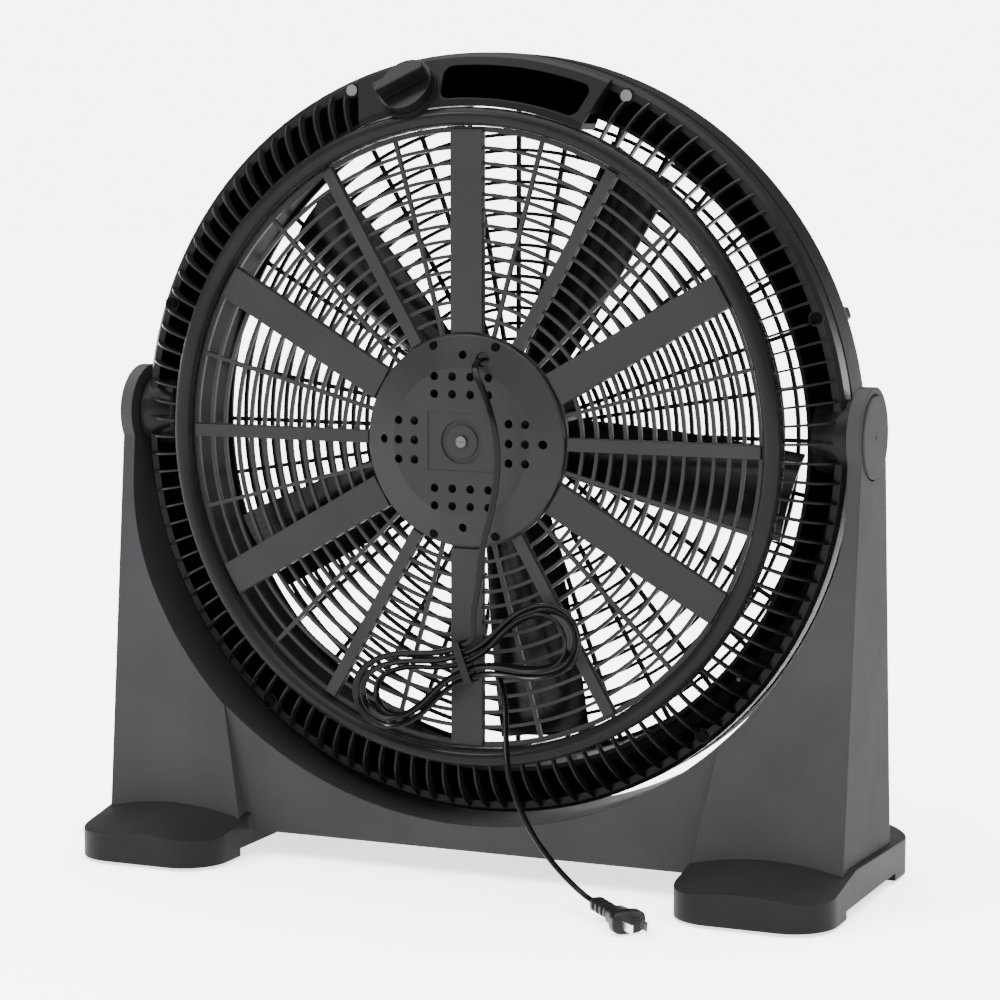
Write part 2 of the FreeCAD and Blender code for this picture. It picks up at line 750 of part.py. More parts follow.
def cover_shape():
    flat = guard_rear + cover_rise
    rim = guard_rear + cover_rim
    low = cover_radius - cover_wall
    body = turned([(0, flat), (cover_flat_radius, flat), (cover_radius - cover_ease, rim), (cover_radius, rim - cover_ease),
                   (cover_radius, guard_rear), (low, guard_rear), (low, rim - cover_wall),
                   (cover_flat_radius, flat - cover_wall), (0, flat - cover_wall)])
    body = body.fuse(rod(V(0, flat - 2 * cover_wall, head_height), dish_radius + cover_wall, cover_wall + snug))
    body = body.cut(Part.makeBox(label_width, overrun, label_height,
                                 V(-label_width * half_share, flat - label_depth,
                                   head_height - label_height * half_share)))
    body = body.cut(rod(V(0, flat - label_depth - dish_depth, head_height), dish_radius, overrun * 2))
    body = body.fuse(rod(V(0, flat - label_depth - dish_depth - snug, head_height), button_radius,
                         button_rise + snug))
    spots = []
    for k in range(4):
        across = (k - 3 * half_share) * vent_pitch
        spots += [(across, vent_near), (across, vent_far), (across, -vent_near), (across, -vent_far)]
    for up in (-vent_pitch, 0, vent_pitch):
        spots += [(vent_side_near, up), (vent_side_far, up), (-vent_side_near, up), (-vent_side_far, up)]
    spots += [(vent_single, 0), (-vent_single, 0), (0, vent_single), (0, -vent_single)]
    for x, z in spots:
        body = body.cut(rod(V(x, 0, head_height + z), vent_radius, 2 * flat))
    for x, z in cover_screw_spots():
        post = rod(V(x, guard_rear, head_height + z), 2 * grille_screw_radius, cover_rim)
        body = body.fuse(post).cut(rod(V(x, 0, head_height + z), grille_screw_radius + snug, 2 * flat))
        body = body.cut(rod(V(x, rim, head_height + z), 2 * grille_screw_radius + rub_gap, 2 * flat))
    body = body.cut(rod(V(cord_hole_x, 0, head_height + cord_hole_z), cord_hole_radius, 2 * flat))
    return body.cut(rod(V(0, flat - 3 * cover_wall, head_height), grille_screw_radius + snug, 3 * cover_wall))


def cover_screws():
    solids = []
    for x, z in cover_screw_spots():
        base = guard_rear + cover_rim
        shank = rod(V(x, guard_rear - guard_depth, head_height + z), grille_screw_radius, cover_rim + guard_depth)
        solids.append(shank.fuse(rod(V(x, base, head_height + z), 2 * grille_screw_radius, overrun)))
    return Part.makeCompound(solids)


def centre_screw():
    seat = guard_rear + cover_rise - label_depth - dish_depth + button_rise
    shank = rod(V(0, seat - 2 * cover_wall, head_height), grille_screw_radius, 2 * cover_wall)
    head = rod(V(0, seat, head_height), screw_head_radius, overrun)
    slot_cut = Part.makeBox(2 * screw_head_radius, overrun, cap_mark_depth,
                            V(-screw_head_radius, seat + slot_floor, head_height - cap_mark_depth * half_share))
    return shank.fuse(head).cut(slot_cut)


def bell(front, rear, rear_side):
    plate = rear - wall if rear_side else front
    shell = tube(motor_radius - wall, motor_radius, front, rear)
    shell = shell.fuse(tube(bearing_radius + snug, motor_radius, plate, plate + wall))
    cup_front = rear - bearing_length if rear_side else front
    shell = shell.fuse(tube(bearing_radius + snug, bearing_radius + wall, cup_front, cup_front + bearing_length))
    if rear_side:
        for degrees in motor_screw_angles():
            lug = rod(at(motor_screw_circle, degrees, rear - lug_length), lug_radius, lug_length)
            tie = Part.makeBox(lug_radius * 2, lug_length, lug_radius,
                               V(motor_radius - lug_radius, rear - lug_length,
                                 head_height - lug_radius * half_share))
            tie.rotate(head_centre, V(0, -1, 0), degrees)
            shell = shell.fuse(lug).fuse(tie)
        core = tube(0, motor_radius - wall, front - overrun, rear - wall)
        shell = shell.cut(core.cut(tube(0, bearing_radius + wall, front - overrun, rear)))
        for degrees in motor_screw_angles():
            shell = shell.cut(rod(at(motor_screw_circle, degrees, 0), screw_radius + snug, 2 * rear))
    return shell


def case_screws(circle, angles, seat, length, radius):
    solids = []
    for degrees in angles:
        shank = rod(at(circle, degrees, seat - length), radius, length)
        solids.append(shank.fuse(rod(at(circle, degrees, seat), 2 * radius, overrun)))
    return Part.makeCompound(solids)


# Impeller

def blade_section(radius, chord, pitch):
    half = chord * half_share
    thin = blade_thick * half_share
    camber = blade_camber * chord / blade_chords[-1]
    a = math.radians(pitch)
    y0 = -blade_depth

    def spot(along, lift):
        t = along * math.cos(a) - lift * math.sin(a)
        d = along * math.sin(a) + lift * math.cos(a)
        return V(radius, y0 + d, head_height + t)
    edges = [Part.Arc(spot(-half, thin), spot(0, camber + thin), spot(half, thin)).toShape(),
             Part.LineSegment(spot(half, thin), spot(half, -thin)).toShape(),
             Part.Arc(spot(half, -thin), spot(0, camber - thin), spot(-half, -thin)).toShape(),
             Part.LineSegment(spot(-half, -thin), spot(-half, thin)).toShape()]
    return Part.Wire(edges)


def impeller_shape():
    radii = (blade_root - wall, blade_mid, blade_tip)
    wires = [blade_section(r, c, p) for r, c, p in zip(radii, blade_chords, blade_pitches)]
    blade = Part.makeLoft(wires, True, False)
    blade = blade.cut(tube(0, hub_radius - wall * half_share, -2 * band_front, band_front))
    hub = tube(hub_radius - wall, hub_radius, hub_front, hub_rear)
    hub = hub.fuse(tube(shaft_radius + snug, hub_radius - wall * half_share, hub_front, hub_front + wall))
    hub = hub.fuse(tube(shaft_radius + snug, hub_boss, hub_front + wall * half_share, hub_rear))
    blades = []
    for k in range(blade_count):
        copy = blade.copy()
        degrees = blade_first_angle + k * full_turn / blade_count
        copy.rotate(head_centre, V(0, -1, 0), full_turn * half_share - degrees)
        blades.append(copy)
    return hub.multiFuse(blades)


# Cord

class Path:
    """A run of lines and arcs, each tangent to the one before."""

    def __init__(self, start, heading):
        self.here = V(start)
        self.way = V(heading).normalize()
        self.edges = []
        self.tightest = None

    def line(self, length):
        nxt = self.here + self.way * length
        self.edges.append(Part.LineSegment(self.here, nxt).toShape())
        self.here = nxt

    def turn(self, towards, radius, degrees):
        side = V(towards) - self.way * self.way.dot(towards)
        side.normalize()
        centre = self.here + side * radius

        def spot(angle):
            return centre - side * (radius * math.cos(angle)) + self.way * (radius * math.sin(angle))
        full = math.radians(degrees)
        end = spot(full)
        self.edges.append(Part.Arc(self.here, spot(full * half_share), end).toShape())
        self.way = self.way * math.cos(full) + side * math.sin(full)
        self.here = end
        self.tightest = radius if self.tightest is None else min(self.tightest, radius)

    def shift_to(self, target):
        """Two equal arcs to a point where the heading is the same again."""
        gap = target - self.here
        along = gap.dot(self.way)
        across = gap - self.way * along
        if across.Length < snug:
            self.line(along)
            return
        radius = (along ** 2 + across.Length ** 2) / (4 * across.Length)
        degrees = math.degrees(2 * math.atan2(across.Length, along))
        side = V(across)
        self.turn(side, radius, degrees)
        self.turn(-side, radius, degrees)

    def sweep(self, radius):
        wire = Part.Wire(self.edges)
        first = self.edges[0]
        start = first.valueAt(first.FirstParameter)
        section = Part.Wire(Part.makeCircle(radius, start, first.tangentAt(first.FirstParameter)))
        solid = wire.makePipeShell([section], True, False)
        ratio = solid.Volume / (math.pi * radius ** 2 * wire.Length)
        print("cord length", round(wire.Length), "tightest", round(self.tightest, 1), "volume ratio", round(ratio, 3))
        return solid, wire


def hank_axes():
    a = math.radians(hank_tilt)
    along = V(-math.cos(a), 0, math.sin(a))
    across = V(math.sin(a), 0, math.cos(a))
    return along, across


def hank_point(u, v, w):
    along, across = hank_axes()
    return V(hank_x, hank_rear, hank_z) + along * u + across * v + V(0, 1, 0) * (w * layer_pitch)


def hank_path():
    along, across = hank_axes()
    p = strand_pitch
    top = p * (2 + half_share)
    path = Path(hank_point(lead_run + turn_radius, top + turn_radius + end_run, 1), across * -1)
    path.line(end_run)
    path.turn(along * -1, turn_radius, quarter_turn)
    path.shift_to(hank_point(0, top, 1))
    big = lobe_half
    small = lobe_half - p
    tiny = small - p
    stops = [(-1, big, big, 1, -1.5), (1, big, big, 1, 1.5), (-1, small, small, 1, -half_share),
             (1, small, small, 1, half_share), (-1, tiny, small, 0, -half_share),
             (1, small, small, 0, 1.5), (-1, big, big, 0, -1.5)]
    for side, enter, leave, layer, waist in stops:
        upper = 1 if side < 0 else -1
        path.shift_to(hank_point(side * lobe_reach, upper * enter, layer))
        inward = across * -upper
        path.turn(inward, (enter + leave) * half_share, quarter_turn)
        path.turn(along * -side, (enter + leave) * half_share, quarter_turn)
        path.shift_to(hank_point(0, waist * p, layer))
    path.line(exit_run)
    path.turn(across * -1, turn_radius, quarter_turn)
    path.turn(V(0, 1, 0), lift_radius, lift_angle)
    path.line(end_run)
    return path


def least_gap(wire, radius):
    """Least clear distance between strands, from points along the tube."""
    step = radius
    pts = wire.discretize(Distance=step)
    reach = int(8 * radius / step)
    best = None
    grid = {}
    size = 6 * radius
    for i, q in enumerate(pts):
        grid.setdefault((int(q.x // size), int(q.y // size), int(q.z // size)), []).append((i, q))
    for i, q in enumerate(pts):
        cx, cy, cz = int(q.x // size), int(q.y // size), int(q.z // size)
        for dx in (-1, 0, 1):
            for dy in (-1, 0, 1):
                for dz in (-1, 0, 1):
                    for j, r in grid.get((cx + dx, cy + dy, cz + dz), []):
                        if j - i > reach:
                            gap = q.distanceToPoint(r) - 2 * radius
                            best = gap if best is None else min(best, gap)
    return best


def route(points):
    """Straight runs joined by tangent arcs through the given corner points."""
    edges = []
    here = points[0]
    tightest = None
    for a, b, c in zip(points, points[1:], points[2:]):
        back = (a - b).normalize()
        ahead = (c - b).normalize()
        half = math.acos(max(-1.0, min(1.0, back.dot(ahead)))) * half_share
        cut = route_share * min(a.distanceToPoint(b), b.distanceToPoint(c))
        radius = cut * math.tan(half)
        start = b + back * cut
        end = b + ahead * cut
        centre = b + (back + ahead).normalize() * (radius / math.sin(half))
        mid = centre + (b - centre).normalize() * radius
        edges.append(Part.LineSegment(here, start).toShape())
        edges.append(Part.Arc(start, mid, end).toShape())
        here = end
        tightest = radius if tightest is None else min(tightest, radius)
    edges.append(Part.LineSegment(here, points[-1]).toShape())
    path = Path(points[0], points[1] - points[0])
    path.edges = edges
    path.tightest = tightest
    return path


def drop_points(end, heading):
    start = V(cord_hole_x, guard_rear + cover_rim + gland_length, head_height + cord_hole_z)
    last = end - heading * join_gap
    return [start, start + V(0, cord_first_run, 0)] + [V(*p) for p in drop_corners] + [
        last - heading * cord_last_run, last]


def tail_points(start, heading):
    first = start + heading * join_gap
    goal = V(*plug_start)
    way = V(*plug_heading).normalize()
    return [first, first + heading * cord_last_run] + [V(*p) for p in tail_corners] + [
        goal - way * cord_last_run, goal]


def plug_pieces():
    way = V(*plug_heading).normalize()
    start = V(*plug_start)
    level = V(0, 0, 1)
    across = way.cross(level).normalize()
    up = across.cross(way).normalize()
    frame = FreeCAD.Matrix(across.x, way.x, up.x, start.x, across.y, way.y, up.y, start.y,
                           across.z, way.z, up.z, start.z, 0, 0, 0, 1)
    relief = Part.makeCone(relief_radius - relief_step, relief_radius, relief_length, V(0, 0, 0), V(0, 1, 0))
    for k in range(relief_collars):
        near = (k + 1) * relief_length / relief_collars - relief_collar
        collar = rod(V(0, near, 0), relief_radius + relief_step, relief_collar)
        relief = relief.fuse(collar)
    block = Part.makeBox(2 * plug_half_width, plug_length, 2 * plug_half_height,
                         V(-plug_half_width, relief_length, -plug_half_height))
    block = block.makeChamfer(plug_ease, [e for e in block.Edges if abs(e.tangentAt(e.FirstParameter).y) > half_share])
    body = relief.fuse(block)
    prongs = []
    for side in (1, -1):
        x = side * prong_spread * half_share - prong_thick * half_share
        y = relief_length + plug_length - prong_root
        prongs.append(Part.makeBox(prong_thick, prong_length + prong_root, prong_width,
                                   V(x, y, -prong_width * half_share)))
    for prong in prongs:
        body = body.cut(prong)
    pins = Part.makeCompound(prongs)
    return body.transformGeometry(frame), pins.transformGeometry(frame)


def tie_shape():
    along, across = hank_axes()
    half_v = strand_pitch * (2 + half_share) + cord_radius + tie_gap
    low = strand_pitch * (1 + half_share) + cord_radius + tie_gap
    front = -cord_radius - tie_gap
    rear = layer_pitch + cord_radius + tie_gap

    def block(grow):
        corners = [(-low - grow, front - grow), (half_v + grow, front - grow),
                   (half_v + grow, rear + grow), (-low - grow, rear + grow)]
        base = hank_point(-tie_half_width, 0, 0)
        pts = [base + across * v + V(0, w, 0) for v, w in corners]
        return Part.Face(Part.makePolygon(pts + pts[:1])).extrude(along * (2 * tie_half_width))
    return block(tie_wall).cut(block(0))


def build():
    save("base_cradle", cradle_shape())
    foot = foot_shape()
    save("foot_right", foot)
    save("foot_left", mirror_x(foot))
    pads = []
    screws = []
    for side in (1, -1):
        for x in (foot_inner + pad_inset, foot_outer - pad_inset):
            for y in (foot_half_length - pad_inset, pad_inset - foot_half_length):
                pads.append(rod(V(side * x, y, 0), pad_radius, foot_base, V(0, 0, 1)))
        for x, y in foot_spots():
            head = rod(V(side * x, y, foot_screw_seat - screw_head_rise), screw_head_radius, screw_head_rise,
                       V(0, 0, 1))
            screws.append(head.fuse(rod(V(side * x, y, foot_screw_seat), screw_radius, screw_length, V(0, 0, 1))))
    save("foot_pads", Part.makeCompound(pads))
    save("foot_screws", Part.makeCompound(screws))
    for side, name in ((1, "right"), (-1, "left")):
        cap, bolt, washer, nut = pivot_pieces(side)
        save("pivot_cap_" + name, cap)
        save("pivot_bolt_" + name, bolt)
        save("friction_washer_" + name, washer)
        save("pivot_nut_" + name, nut)
    save("rear_housing", housing_shape())
    save("front_ring", front_ring_shape())
    save("rear_guard", guard_shape())
    save("front_grille", grille_shape())
    save("front_badge", tube(0, badge_radius, -band_front - grille_depth - badge_thick, -band_front - grille_depth))
    save("housing_screws", case_screws(case_post_circle, case_screw_angles, lip_rear, lip_rear - overrun, screw_radius))
    grille_screw = case_screws(grille_screw_circle, [-a for a in grille_screw_angles()],
                               band_front + grille_depth, 2 * wall, grille_screw_radius)
    grille_screw.rotate(head_centre, V(0, 0, 1), full_turn * half_share)
    save("grille_screws", grille_screw)
    save("handle_panel", panel_shape())
    knob, spindle, switch = knob_pieces()
    save("speed_knob", knob)
    save("switch_spindle", spindle)
    save("switch_body", switch)
    save("motor_cover", cover_shape())
    save("cover_screws", cover_screws())
    save("cover_centre_screw", centre_screw())
    gland_base = guard_rear + cover_rim
    hole = V(cord_hole_x, gland_base, head_height + cord_hole_z)
    gland = rod(hole, gland_radius, gland_length)
    save("cord_gland", gland)
    save("motor_bell_rear", bell(motor_split, motor_rear, True))
    save("motor_bell_front", bell(motor_front, motor_split, False))
    save("stator_core", tube(stator_inner, stator_outer, stator_front, stator_rear))
    coils = [tube(coil_inner, coil_outer, stator_rear, stator_rear + coil_length),
             tube(coil_inner, coil_outer, stator_front - coil_length, stator_front)]
    save("stator_windings", Part.makeCompound(coils))
    bearings = [tube(shaft_radius + snug, bearing_radius, motor_rear - bearing_length, motor_rear),
                tube(shaft_radius + snug, bearing_radius, motor_front, motor_front + bearing_length)]
    save("motor_bearings", Part.makeCompound(bearings))
    save("motor_screws", case_screws(motor_screw_circle, motor_screw_angles(), guard_rear, guard_depth + lug_length,
                                     screw_radius))
    save("motor_rotor", tube(shaft_radius, stator_inner - air_gap, stator_front, stator_rear))
    save("motor_shaft", tube(0, shaft_radius, shaft_front, motor_rear - rub_gap))
    save("impeller", impeller_shape())
    save("blade_lock_nut", tube(0, lock_nut_radius, hub_front - lock_nut_length, hub_front).cut(
        tube(0, shaft_radius, shaft_front, band_front)))
    path = hank_path()
    hank, wire = path.sweep(cord_radius)
    print("least gap between strands", round(least_gap(wire, cord_radius), 2))
    save("cord_hank", hank)
    save("cord_tie", tie_shape())
    first = path.edges[0]
    start = first.valueAt(first.FirstParameter)
    heading = first.tangentAt(first.FirstParameter)
    drop, wire = route(drop_points(start, heading)).sweep(cord_radius)
    save("cord_drop", drop)
    tail, wire = route(tail_points(path.here, path.way)).sweep(cord_radius)
    save("cord_tail", tail)
    plug, pins = plug_pieces()
    save("plug_body", plug)
    save("plug_blades", pins)


build()
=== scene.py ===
import json
import math

import bpy
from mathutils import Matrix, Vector


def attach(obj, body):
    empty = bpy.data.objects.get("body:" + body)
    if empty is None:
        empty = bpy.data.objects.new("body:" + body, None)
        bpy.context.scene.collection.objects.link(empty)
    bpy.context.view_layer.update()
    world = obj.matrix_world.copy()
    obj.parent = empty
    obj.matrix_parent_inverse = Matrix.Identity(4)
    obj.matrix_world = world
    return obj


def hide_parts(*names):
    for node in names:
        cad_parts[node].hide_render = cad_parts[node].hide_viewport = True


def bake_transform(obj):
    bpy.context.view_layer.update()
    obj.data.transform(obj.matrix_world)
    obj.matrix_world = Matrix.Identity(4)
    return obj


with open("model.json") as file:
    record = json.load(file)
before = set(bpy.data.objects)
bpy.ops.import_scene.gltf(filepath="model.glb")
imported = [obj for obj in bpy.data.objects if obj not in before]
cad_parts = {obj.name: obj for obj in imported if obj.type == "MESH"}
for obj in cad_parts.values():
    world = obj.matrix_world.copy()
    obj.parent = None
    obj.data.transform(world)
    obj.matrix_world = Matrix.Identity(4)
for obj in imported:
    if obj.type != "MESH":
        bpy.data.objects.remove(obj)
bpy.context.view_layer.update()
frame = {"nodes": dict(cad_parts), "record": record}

MM = 0.001

# Camera, in millimetres and pixels of a 1000 pixel square image
CAMERA_AT = Vector((-903.7, 2073.1, 543.9)) * MM
CAMERA_WAY = Vector((0.3961, -0.9084, -0.1337))
CAMERA_FAR = 60.0
FOCAL_PIXELS = 3015.0
IMAGE_PIXELS = 1000.0
CENTRE_PIXEL = (489.5, 555.8)
SENSOR = 36.0

# World light: strengths, and the upward parts of a direction between which they fade
SKY_DIM = 0.15
OVERHEAD = 10.0
OVERHEAD_FROM = 0.62
OVERHEAD_TO = 0.82
HORIZON = 6.2
HORIZON_FROM = 0.05
HORIZON_TO = 0.11
WHITE = (1.0, 1.0, 1.0, 1.0)

# Floor, in metres
FLOOR_SIZE = 30.0
FLOOR_TONES = (0.95, 0.97)
FLOOR_ROUGH = 0.8
FLOOR_GLOW = 2.0

# Area lamps: name, place and target in metres, size in metres, power in watts
LAMPS = (
    ("right", (-2.3, 0.9, 1.2), (0.0, 0.0, 0.35), 1.6, 1.0),
    ("left", (2.4, 1.6, 1.0), (0.0, 0.0, 0.3), 1.2, 8.0),
    ("front", (-0.6, 3.6, 2.2), (0.0, 0.0, 0.35), 2.4, 60.0),
    ("high", (1.3, 1.9, 2.3), (0.0, 0.0, 0.35), 0.4, 60.0),
)

# Noise patterns, each a scale and a detail
FLOOR_NOISE = (3.0, 2.0)
TONE_NOISE = (14.0, 6.0)
GLOSS_NOISE = (60.0, 4.0)
WEAR_NOISE = (220.0, 5.0)
GRAIN_DETAIL = 2.0

# Plastic and metal
COOL_GREEN = 1.02
COOL_BLUE = 1.08
GRAIN_STEP = 0.4
EDGE_SAMPLES = 6
WEAR_SHARE = 0.82

# Screws at the rear below the handle get painted shade, near black, in millimetres
SCREW_REAR = 15.0
SCREW_HIGH = 560.0
SCREW_SHADE = (0.0015, 0.0015, 0.0016, 1.0)

# Stand, in millimetres
STAND_SHINE = 0.04
SIDE_SHINE = 0.008
SIDE_FROM = 0.7
PIVOT_HEIGHT = 340.0
CRADLE_REACH = 301.0
CRADLE_SIDE = 294.0
WALL_FACING = 0.2
CRADLE_WALL_SHADE = (0.011, 0.011, 0.0118, 1.0)

# Head and its hand pocket, in millimetres about the head's centre line
HEAD_SHINE = 0.07
HANDLE_SHINE = 0.03
HOUSING_SHINE = 0.04
HEAD_HEIGHT = 330.0
POCKET_INNER = 251.0
POCKET_OUTER = 275.0
POCKET_INNER_EASE = 1.0
POCKET_OUTER_EASE = 0.6
POCKET_LINE = 43.5
POCKET_FALL = 0.677
POCKET_LEFT = -95.5
POCKET_RIGHT = 24.0
POCKET_SHADE = (0.0005, 0.0005, 0.0005, 1.0)

# Cord, in millimetres
CORD_WIDTH = 5.0
CORD_THICK = 2.8
CORD_SIDES = 20
PINCH_DEPTH = 0.16
PINCH_WIDTH = 0.28
CORE_TURN = 3.0
ROUTE_STEPS = 8
ROUTE_ORDER = 3
HANK_AT = Vector((-9.0, 62.0, 165.0))
HANK_TILT = math.radians(20.5)
HANK_ALONG = Vector((-math.cos(HANK_TILT), 0.0, math.sin(HANK_TILT)))
HANK_ACROSS = Vector((math.sin(HANK_TILT), 0.0, math.cos(HANK_TILT)))
STRAND_PITCH = 6.0
LAYER_PITCH = 5.4
LOBE_REACH = 66.0
LOBE_HALF = 26.0
LOBE_RUN_SHARE = 0.25
CORD_EXIT = Vector((-16.0, 48.5, 391.0))

# Plug, in millimetres from the cord's end: distance along, half width and half height
PLUG_AT = Vector((-134.0, 120.0, 11.5))
PLUG_WAY = Vector((-56.0, 50.0, -3.0)).normalized()
RIB_FIRST = 3.0
RIB_PITCH = 6.6
RIB_COUNT = 4
RIB_LONG = 3.8
RIB_STEP = 0.6
RELIEF_START = (3.4, 3.0)
RIB_HALF = (5.8, 5.0)
GROOVE_BEFORE = (4.0, 3.6)
GROOVE_AFTER = (4.2, 3.8)
PLUG_BODY = ((30.0, 5.0, 4.6), (32.5, 8.2, 6.6), (44.0, 9.0, 7.2), (46.5, 12.6, 8.0), (47.5, 13.0, 8.4),
             (53.2, 13.0, 8.4), (54.0, 12.4, 7.9))
PLUG_SIDES = 28
PLUG_SQUARE = 3.2
PLUG_CREASE = math.radians(35.0)


# Shader nodes

def new_material(name):
    mat = bpy.data.materials.new(name)
    mat.use_nodes = True
    tree = mat.node_tree
    return mat, tree, tree.nodes["Principled BSDF"]


def noise(tree, scale, detail, coords):
    node = tree.nodes.new("ShaderNodeTexNoise")
    node.inputs["Scale"].default_value = scale
    node.inputs["Detail"].default_value = detail
    tree.links.new(coords.outputs["Object"], node.inputs["Vector"])
    return node.outputs["Fac"]


def ramp(tree, source, low, high, start=0.3, end=0.7):
    node = tree.nodes.new("ShaderNodeValToRGB")
    node.color_ramp.elements[0].position = start
    node.color_ramp.elements[0].color = low
    node.color_ramp.elements[1].position = end
    node.color_ramp.elements[1].color = high
    tree.links.new(source, node.inputs["Fac"])
    return node.outputs["Color"]


def fade(tree, value, start, end, first, last):
    """A value that runs from first to last while the given one runs from start to end."""
    node = tree.nodes.new("ShaderNodeMapRange")
    node.inputs["From Min"].default_value = start
    node.inputs["From Max"].default_value = end
    node.inputs["To Min"].default_value = first
    node.inputs["To Max"].default_value = last
    tree.links.new(value, node.inputs["Value"])
    return node.outputs["Result"]


def math_node(tree, operation, value, other=0.0):
    """Arithmetic on a value and a constant."""
    node = tree.nodes.new("ShaderNodeMath")
    node.operation = operation
    node.inputs[1].default_value = other
    tree.links.new(value, node.inputs[0])
    return node.outputs["Value"]


def both(tree, one, other, operation="MULTIPLY"):
    """Arithmetic on two values; two zones multiplied are where both hold."""
    node = tree.nodes.new("ShaderNodeMath")
    node.operation = operation
    tree.links.new(one, node.inputs[0])
    tree.links.new(other, node.inputs[1])
    return node.outputs["Value"]


def parts_of(tree, source):
    """The X, Y and Z of a texture coordinate."""
    coords = tree.nodes.new("ShaderNodeTexCoord")
    split = tree.nodes.new("ShaderNodeSeparateXYZ")
    tree.links.new(coords.outputs[source], split.inputs["Vector"])
    return split.outputs["X"], split.outputs["Y"], split.outputs["Z"]


def reach_from(tree, x, z, height):
    """Distance from the line that runs along Y at this height."""
    over = math_node(tree, "SUBTRACT", z, height * MM)
    return math_node(tree, "SQRT", both(tree, both(tree, x, x), both(tree, over, over), "ADD"))


def paint_shade(mat, zone, color):
    """Painted shade: blend the base colour to a near black where the zone is 1."""
    tree = mat.node_tree
    socket = tree.nodes["Principled BSDF"].inputs["Base Color"]
    mix = tree.nodes.new("ShaderNodeMix")
    mix.data_type = "RGBA"
    colors = {i.name: i for i in mix.inputs if i.type == "RGBA"}
    tree.links.new(zone, mix.inputs["Factor"])
    tree.links.new(socket.links[0].from_socket, colors["A"])
    colors["B"].default_value = color
    tree.links.new([o for o in mix.outputs if o.type == "RGBA"][0], socket)


def set_shine(mat, value):
    tree = mat.node_tree
    tree.links.new(value, tree.nodes["Principled BSDF"].inputs["Specular IOR Level"])


# Materials

def grey(value):
    """Slightly cool grey."""
    return (value, value * COOL_GREEN, value * COOL_BLUE, 1.0)


def plastic(name, tone, gloss, grain, edge_round, shine):
    """Moulded plastic: uneven tone, uneven gloss, moulded grain and softened edges."""
    mat, tree, shader = new_material(name)
    coords = tree.nodes.new("ShaderNodeTexCoord")
    dark, light = tone
    tree.links.new(ramp(tree, noise(tree, *TONE_NOISE, coords), grey(dark), grey(light)),
                   shader.inputs["Base Color"])
    tree.links.new(fade(tree, noise(tree, *GLOSS_NOISE, coords), 0.0, 1.0, *gloss), shader.inputs["Roughness"])
    grain_scale, grain_depth = grain
    bump = tree.nodes.new("ShaderNodeBump")
    bump.inputs["Strength"].default_value = grain_depth
    bump.inputs["Distance"].default_value = GRAIN_STEP * MM
    tree.links.new(noise(tree, grain_scale, GRAIN_DETAIL, coords), bump.inputs["Height"])
    if edge_round > 0.0:
        edge = tree.nodes.new("ShaderNodeBevel")
        edge.samples = EDGE_SAMPLES
        edge.inputs["Radius"].default_value = edge_round * MM
        tree.links.new(edge.outputs["Normal"], bump.inputs["Normal"])
    tree.links.new(bump.outputs["Normal"], shader.inputs["Normal"])
    shader.inputs["Specular IOR Level"].default_value = shine
    return mat


def metal(name, color, rough):
    """Metal whose tone is a little worn in spots."""
    mat, tree, shader = new_material(name)
    coords = tree.nodes.new("ShaderNodeTexCoord")
    worn = tuple(c * WEAR_SHARE for c in color)
    tree.links.new(ramp(tree, noise(tree, *WEAR_NOISE, coords), (*worn, 1.0), (*color, 1.0)),
                   shader.inputs["Base Color"])
    shader.inputs["Metallic"].default_value = 1.0
    shader.inputs["Roughness"].default_value = rough
    return mat


def screw_steel():
    """Steel by the handle and in front, with painted shade of near black on the rest of the rear."""
    mat = metal("bright_steel", (0.07, 0.07, 0.075), 0.25)
    tree = mat.node_tree
    _, y, z = parts_of(tree, "Object")
    rear = math_node(tree, "GREATER_THAN", y, SCREW_REAR * MM)
    low = math_node(tree, "LESS_THAN", z, SCREW_HIGH * MM)
    # Painted shade: screws at the rear below the handle are blended to near black, standing in for the shade in
    # their holes
    paint_shade(mat, both(tree, rear, low), SCREW_SHADE)
    return mat


def handle_plastic():
    """Head plastic with painted shade, near black and without shine, inside the hand pocket."""
    mat = plastic("handle_plastic", tone=(0.003, 0.004), gloss=(0.34, 0.44), grain=(900.0, 0.10),
                  edge_round=0.8, shine=HANDLE_SHINE)
    tree = mat.node_tree
    x, y, z = parts_of(tree, "Object")
    reach = reach_from(tree, x, z, HEAD_HEIGHT)
    out = math_node(tree, "SUBTRACT", reach, POCKET_INNER * MM)
    depth = both(tree, y, math_node(tree, "MULTIPLY", out, POCKET_FALL), "ADD")
    limits = (("LESS_THAN", depth, POCKET_LINE), ("GREATER_THAN", reach, POCKET_INNER - POCKET_INNER_EASE),
              ("LESS_THAN", reach, POCKET_OUTER + POCKET_OUTER_EASE), ("GREATER_THAN", x, POCKET_LEFT),
              ("LESS_THAN", x, POCKET_RIGHT))
    zones = [math_node(tree, test, value, limit * MM) for test, value, limit in limits]
    zone = zones[0]
    for other in zones[1:]:
        zone = both(tree, zone, other)
    # Painted shade: the inside of the hand pocket is blended to near black and loses its shine
    paint_shade(mat, zone, POCKET_SHADE)
    set_shine(mat, fade(tree, zone, 0.0, 1.0, HANDLE_SHINE, 0.0))
    return mat


